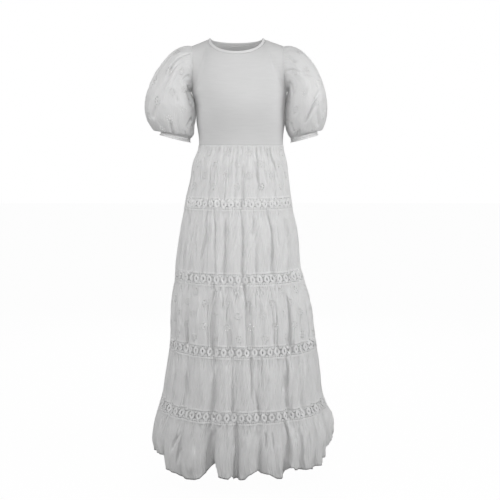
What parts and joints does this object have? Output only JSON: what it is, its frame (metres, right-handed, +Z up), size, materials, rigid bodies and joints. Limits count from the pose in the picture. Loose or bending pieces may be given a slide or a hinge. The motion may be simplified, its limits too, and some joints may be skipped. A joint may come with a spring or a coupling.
{
  "type": "maxi dress",
  "caption": "Worn-form maxi dress: knit crew-neck bodice, short puff sleeves and a gathered skirt in tiers with lace insertions and a hem ruffle.",
  "frame": {"origin": "on the shoulder line over the middle of the neck, where the wearer's shoulders hold the dress up", "axes": "+Z up the wearer, -Y out of the front, -X towards the wearer's right"},
  "size_m": [0.6109, 0.5498, 1.3572],
  "materials": {
    "cotton": "matt crinkled cotton with embroidered eyelets, slightly sheer",
    "lace": "matt crocheted cotton lace",
    "fine_knit": "matt fine knit",
    "rib_knit": "matt rib knit"
  },
  "bodies": {
    "root": {"neck_band": "rib_knit", "bodice_front": "fine_knit", "bodice_back": "fine_knit", "sleeve_right": "cotton", "sleeve_left": "cotton", "cuff_right": "cotton", "cuff_left": "cotton", "tier_1_front": "cotton", "tier_1_back": "cotton", "lace_1_front": "lace", "lace_1_back": "lace", "tier_2_front": "cotton", "tier_2_back": "cotton", "lace_2_front": "lace", "lace_2_back": "lace", "tier_3_front": "cotton", "tier_3_back": "cotton", "lace_3_front": "lace", "lace_3_back": "lace", "tier_4_front": "cotton", "tier_4_back": "cotton", "lace_4_front": "lace", "lace_4_back": "lace", "ruffle_front": "cotton", "ruffle_back": "cotton"}
  },
  "joints": []
}
